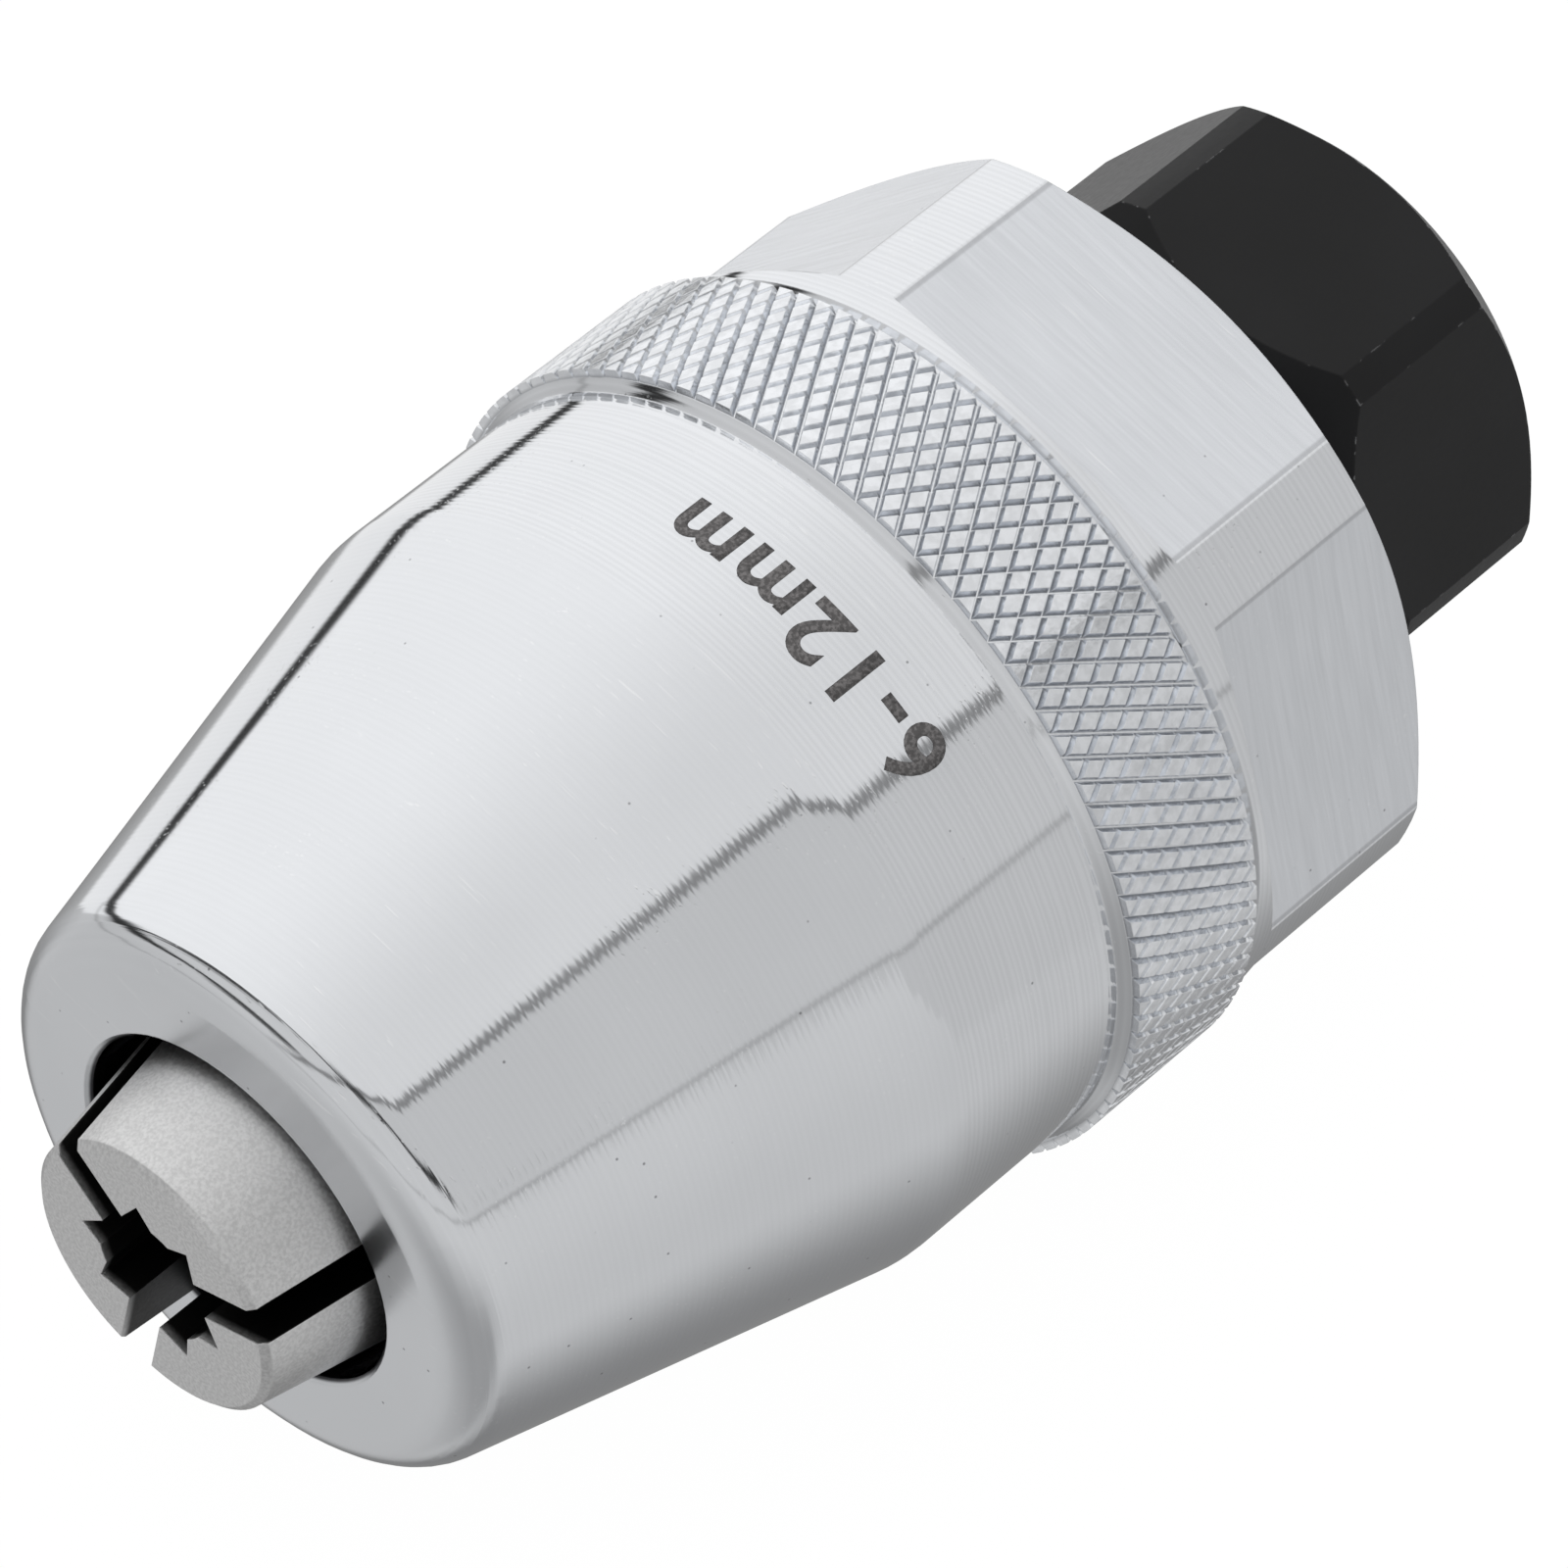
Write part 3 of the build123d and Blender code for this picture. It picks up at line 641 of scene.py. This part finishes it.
def run_tree(name, tree, values):
    """Runs a geometry tree once and keeps its result as a plain mesh object."""
    holder = bpy.data.objects.new(name + "_maker", bpy.data.meshes.new(name + "_maker"))
    bpy.context.scene.collection.objects.link(holder)
    modifier = holder.modifiers.new(name, "NODES")
    modifier.node_group = tree
    for label, value in values.items():
        modifier[socket_key(tree, label)] = value
    depsgraph = bpy.context.evaluated_depsgraph_get()
    mesh = bpy.data.meshes.new_from_object(holder.evaluated_get(depsgraph))
    mesh.name = name
    bpy.data.objects.remove(holder)
    piece = bpy.data.objects.new(name, mesh)
    bpy.context.scene.collection.objects.link(piece)
    return piece


# ---------------------------------------------------------------- operators
class EXTRACTOR_OT_body(bpy.types.Operator):
    """Give the body its bright turned plating"""

    bl_idname = "extractor.body"
    bl_label = "Finish Body"

    def execute(self, context):
        colours = context.scene.extractor_colours
        finish_node(BODY, plated_finish(colours.plate))
        return {"FINISHED"}


class EXTRACTOR_OT_knurl(bpy.types.Operator):
    """Roll the diamond knurl round the body's grip band"""

    bl_idname = "extractor.knurl"
    bl_label = "Make Knurled Band"

    def execute(self, context):
        sizes = context.scene.extractor_sizes
        material = knurl_finish(context.scene.extractor_colours.plate)
        band = run_tree("knurled_band", knurl_tree(material), {
            "Around": sizes.knurl_around, "Rows": sizes.knurl_rows,
            "Front": sizes.knurl_front, "Width": sizes.knurl_width,
            "Root Radius": sizes.knurl_root, "Height": sizes.knurl_height,
            "Top Size": sizes.knurl_top,
        })
        if not band.data.polygons:
            raise RuntimeError("the knurled band came out empty")
        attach(band, "body")
        return {"FINISHED"}


class EXTRACTOR_OT_mark(bpy.types.Operator):
    """Etch the stud sizes round the barrel"""

    bl_idname = "extractor.mark"
    bl_label = "Etch Capacity Mark"

    def execute(self, context):
        sizes = context.scene.extractor_sizes
        mark = wrapped_text(
            "capacity_mark", sizes.mark_text, sizes.mark_height, sizes.mark_middle,
            sizes.barrel_radius,
        )
        mark.data.materials.append(etched_finish(context.scene.extractor_colours.etch))
        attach(mark, "body")
        return {"FINISHED"}


FIGURE_SCALE = 1.38
FIGURE_SPACING = 1.12
FIGURE_STROKE = 0.028
FIGURE_STEP = radians(1.5)
FIGURE_TURN = radians(3.5)
FIGURE_PROUD = 0.000025
FIGURE_SUNK = 0.00003


def wrapped_text(name, words, height, middle, radius):
    """Thin solid figures laid round the barrel. They are upright when the jaws point up."""
    curve = bpy.data.curves.new(name, "FONT")
    curve.body = words
    curve.size = height * FIGURE_SCALE
    curve.align_x = "CENTER"
    curve.align_y = "CENTER"
    curve.space_character = FIGURE_SPACING
    curve.offset = height * FIGURE_STROKE
    curve.resolution_u = 6
    maker = bpy.data.objects.new(name + "_maker", curve)
    bpy.context.scene.collection.objects.link(maker)
    depsgraph = bpy.context.evaluated_depsgraph_get()
    mesh = bpy.data.meshes.new_from_object(maker.evaluated_get(depsgraph))
    bpy.data.objects.remove(maker)
    work = bmesh.new()
    work.from_mesh(mesh)
    bmesh.ops.remove_doubles(work, verts=work.verts, dist=1e-7)
    low = min(v.co.x for v in work.verts)
    high = max(v.co.x for v in work.verts)
    step = radius * FIGURE_STEP
    cut = low + step
    while cut < high:
        everything = work.verts[:] + work.edges[:] + work.faces[:]
        bmesh.ops.bisect_plane(
            work, geom=everything, plane_co=(cut, 0, 0), plane_no=(1, 0, 0), dist=1e-8
        )
        cut += step
    grown = bmesh.ops.extrude_face_region(work, geom=work.faces[:])
    for item in grown["geom"]:
        if isinstance(item, bmesh.types.BMVert):
            item.co.z = 1.0
    for vert in work.verts:
        around = FIGURE_TURN - vert.co.x / radius
        r = radius + (FIGURE_PROUD if vert.co.z > 0.5 else -FIGURE_SUNK)
        vert.co = Vector((middle - vert.co.y, -sin(around) * r, cos(around) * r))
    bmesh.ops.recalc_face_normals(work, faces=work.faces[:])
    work.to_mesh(mesh)
    work.free()
    mesh.name = name
    piece = bpy.data.objects.new(name, mesh)
    bpy.context.scene.collection.objects.link(piece)
    return piece


class EXTRACTOR_OT_drive(bpy.types.Operator):
    """Give the drive end its satin black finish"""

    bl_idname = "extractor.drive"
    bl_label = "Finish Drive End"

    def execute(self, context):
        finish_node(SPINDLE, black_finish(context.scene.extractor_colours.black))
        return {"FINISHED"}


class EXTRACTOR_OT_jaws(bpy.types.Operator):
    """Give the three jaws their blasted finish"""

    bl_idname = "extractor.jaws"
    bl_label = "Finish Jaws"

    def execute(self, context):
        material = jaw_finish(context.scene.extractor_colours.jaw)
        for name in JAWS:
            finish_node(name, material)
        return {"FINISHED"}


class EXTRACTOR_OT_inside(bpy.types.Operator):
    """Finish the carrier, the thrust bearing and the screw inside the body"""

    bl_idname = "extractor.inside"
    bl_label = "Finish Inner Pieces"

    def execute(self, context):
        carrier = machined_finish("Machined Carrier Steel", CARRIER_COLOUR, 0.32, 0.0003)
        bearing = machined_finish("Bearing Steel", BEARING_COLOUR, 0.12, 0.0001)
        brass = machined_finish(
            "Cage Brass", context.scene.extractor_colours.brass, 0.28, 0.0002
        )
        for name in ("jaw_carrier", "shoulder_screw"):
            finish_node(name, carrier)
        for name in ("ball_cage", "screw_washer"):
            finish_node(name, brass)
        for name in NODES:
            if name.startswith("thrust_"):
                finish_node(name, bearing)
        return {"FINISHED"}


# ---------------------------------------------------------------- stage
# Where the camera stands, in metres, and which way its picture's right and top point
CAMERA_PLACE = Vector((-0.171205, -0.102237, 0.372830))
CAMERA_RIGHT = Vector((0.682612, -0.702437, 0.201553))
CAMERA_UP = Vector((0.545914, 0.673505, 0.498367))
CAMERA_LENS = 203.18

# Each seam of the tent lies on a plane through the origin, given by the plane's normal
TOP_SEAM = (0.305, 0.882, 0.362)
SIDE_SEAM = (0.128, 0.403, 0.906)
BACK_SEAM = (0.389, 0.273, 0.880)
FRONT_SEAM = (0.735, 0.269, 0.622)
SEAM_SOLID = 0.35
SEAM_DEPTH = 0.96

FLOOR_HALF = 3.0
FLOOR_GAP = 0.0006
FLOOR_GLOW = 0.97


def make_camera():
    data = bpy.data.cameras.new("studio_camera")
    data.lens = CAMERA_LENS
    data.sensor_width = 36.0
    data.clip_start = 0.01
    data.clip_end = 20.0
    camera = bpy.data.objects.new("studio_camera", data)
    back = CAMERA_RIGHT.cross(CAMERA_UP).normalized()
    right = CAMERA_RIGHT.normalized()
    up = back.cross(right)
    turn = Matrix((right, up, back)).transposed().to_4x4()
    camera.matrix_world = Matrix.Translation(CAMERA_PLACE) @ turn
    bpy.context.scene.collection.objects.link(camera)
    bpy.context.scene.camera = camera


def make_world():
    """A white tent with thin dark seams between its panels, and a greyer side below.

    Levels run from 0, black, to 1, white. They depend only on the direction of the light.
    """
    world = bpy.data.worlds.new("studio_tent")
    bpy.context.scene.world = world
    world.use_nodes = True
    world.node_tree.nodes.clear()
    t = Tree(world.node_tree)
    toward = t.add("ShaderNodeTexCoord").outputs["Generated"]
    top_seam = t.dot(toward, TOP_SEAM)
    side_seam = t.dot(toward, SIDE_SEAM)
    back_seam = t.dot(toward, BACK_SEAM)
    front_seam = t.dot(toward, FRONT_SEAM)
    split = t.add("ShaderNodeSeparateXYZ", {"Vector": toward})
    x, y, z = split.outputs["X"], split.outputs["Y"], split.outputs["Z"]
    on_top = t.ramp(top_seam, -0.012, 0.012)
    in_front = t.ramp(back_seam, -0.02, 0.02)
    # The side panels, darker straight below
    beside = t.mix(t.ramp(side_seam, -0.02, 0.02), 0.58, 0.61)
    sunk = t.ramp(z, -1.0, -0.62)
    beside = t.math("MULTIPLY", beside, t.mix(sunk, 0.30, 1.0))
    # The upper panels, in front of the back seam and behind it
    low = t.mix(t.ramp(z, -0.95, -0.72), 1.0, 0.90)
    main = t.mix(t.ramp(y, -0.1, 0.9), 0.77, 0.98)
    level = t.mix(on_top, beside, t.mix(in_front, low, main))
    # The panel that the nose faces, darker low down on its far side
    nose = t.mix(t.ramp(y, -0.6, 0.2), 0.36, 0.56)
    nose = t.mix(t.ramp(x, -0.30, 0.02), nose, 0.60)
    nose = t.mix(t.ramp(z, -0.4, 0.3), nose, 0.66)
    deep = t.mix(t.ramp(z, -0.95, -0.45), 0.40, 1.0)
    nose = t.math("MULTIPLY", nose, t.mix(t.ramp(x, -0.2, 0.1), 1.0, deep))
    level = t.mix(t.ramp(front_seam, -0.02, 0.02), nose, level)

    def seam(value, width, near):
        """1 in the middle of a seam and 0 outside it, kept to where near is 1."""
        distance = t.math("ABSOLUTE", value)
        line = t.math("SUBTRACT", 1.0, t.ramp(distance, width * SEAM_SOLID, width))
        return t.math("MULTIPLY", line, near)

    top_line = seam(top_seam, 0.040, t.ramp(z, -0.1, 0.3))
    top_line = t.math("MULTIPLY", top_line, 0.66)
    back_line = seam(back_seam, 0.055, t.ramp(top_seam, 0.0, 0.1))
    lifted = t.math("MULTIPLY", t.ramp(y, 0.3, 0.85), in_front)
    lifted = t.math("MULTIPLY", lifted, t.ramp(x, -0.40, -0.20))
    front_line = seam(front_seam, 0.06, t.ramp(side_seam, 0.03, 0.2))
    lip_line = seam(t.math("ADD", front_seam, 0.19), 0.25, lifted)
    front_line = t.math("MAXIMUM", front_line, lip_line)
    side_line = t.math("MULTIPLY", seam(side_seam, 0.02, 1.0), 0.30)
    dark = t.math("MAXIMUM", top_line, back_line)
    dark = t.math("MAXIMUM", dark, t.math("MAXIMUM", front_line, side_line))
    kept = t.math("SUBTRACT", 1.0, t.math("MULTIPLY", dark, SEAM_DEPTH))
    level = t.math("MULTIPLY", level, kept)
    # The camera itself sees plain white behind the tool
    seen = t.add("ShaderNodeLightPath").outputs["Is Camera Ray"]
    level = t.mix(seen, level, 1.0)
    colour = t.add("ShaderNodeCombineColor", {0: level, 1: level, 2: level})
    light = t.add("ShaderNodeBackground", {"Color": colour.outputs[0], "Strength": 1.0})
    output = t.add("ShaderNodeOutputWorld")
    world.node_tree.links.new(light.outputs[0], output.inputs["Surface"])


def make_floor(colour):
    """A wide pale floor under the tool. It glows a little so that it stays pale."""
    mesh = bpy.data.meshes.new("studio_floor")
    low = min(corner[2] for corner in cad_box) - FLOOR_GAP
    corners = [(-1, -1), (1, -1), (1, 1), (-1, 1)]
    mesh.from_pydata(
        [(FLOOR_HALF * x, FLOOR_HALF * y, low) for x, y in corners], [], [(0, 1, 2, 3)]
    )
    floor = bpy.data.objects.new("studio_floor", mesh)
    bpy.context.scene.collection.objects.link(floor)
    material, t, shader, _ = new_material("Studio Floor")
    shader.inputs["Roughness"].default_value = 0.9
    t.set(shader.inputs["Base Color"], rgba([c * 0.04 for c in colour]))
    t.set(shader.inputs["Emission Color"], (1, 1, 1, 1))
    shader.inputs["Emission Strength"].default_value = FLOOR_GLOW
    mesh.materials.append(material)
    floor.visible_glossy = False
    floor.visible_diffuse = False


class EXTRACTOR_OT_stage(bpy.types.Operator):
    """Set up the floor, the light tent and the camera"""

    bl_idname = "extractor.stage"
    bl_label = "Set Up Stage"

    def execute(self, context):
        context.scene.view_settings.view_transform = "Standard"
        context.scene.view_settings.look = "None"
        make_world()
        make_floor(context.scene.extractor_colours.floor)
        make_camera()
        return {"FINISHED"}


class EXTRACTOR_PT_panel(bpy.types.Panel):
    """Steps that finish the stud extractor"""

    bl_label = "Stud Extractor"
    bl_idname = "EXTRACTOR_PT_panel"
    bl_space_type = "VIEW_3D"
    bl_region_type = "UI"
    bl_category = "Extractor"

    def draw(self, context):
        column = self.layout.column()
        for step in STEPS:
            column.operator(step.bl_idname)


STEPS = (
    EXTRACTOR_OT_body, EXTRACTOR_OT_knurl, EXTRACTOR_OT_mark, EXTRACTOR_OT_drive,
    EXTRACTOR_OT_jaws, EXTRACTOR_OT_inside, EXTRACTOR_OT_stage,
)
CLASSES = (ExtractorSizes, ExtractorColours) + STEPS + (EXTRACTOR_PT_panel,)


def register():
    for item in CLASSES:
        bpy.utils.register_class(item)
    bpy.types.Scene.extractor_sizes = PointerProperty(type=ExtractorSizes)
    bpy.types.Scene.extractor_colours = PointerProperty(type=ExtractorColours)


def unregister():
    del bpy.types.Scene.extractor_colours
    del bpy.types.Scene.extractor_sizes
    for item in reversed(CLASSES):
        bpy.utils.unregister_class(item)


def main():
    register()
    bpy.ops.extractor.body()
    bpy.ops.extractor.knurl()
    bpy.ops.extractor.mark()
    bpy.ops.extractor.drive()
    bpy.ops.extractor.jaws()
    bpy.ops.extractor.inside()
    bpy.ops.extractor.stage()
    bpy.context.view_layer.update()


if __name__ == "__main__":
    main()
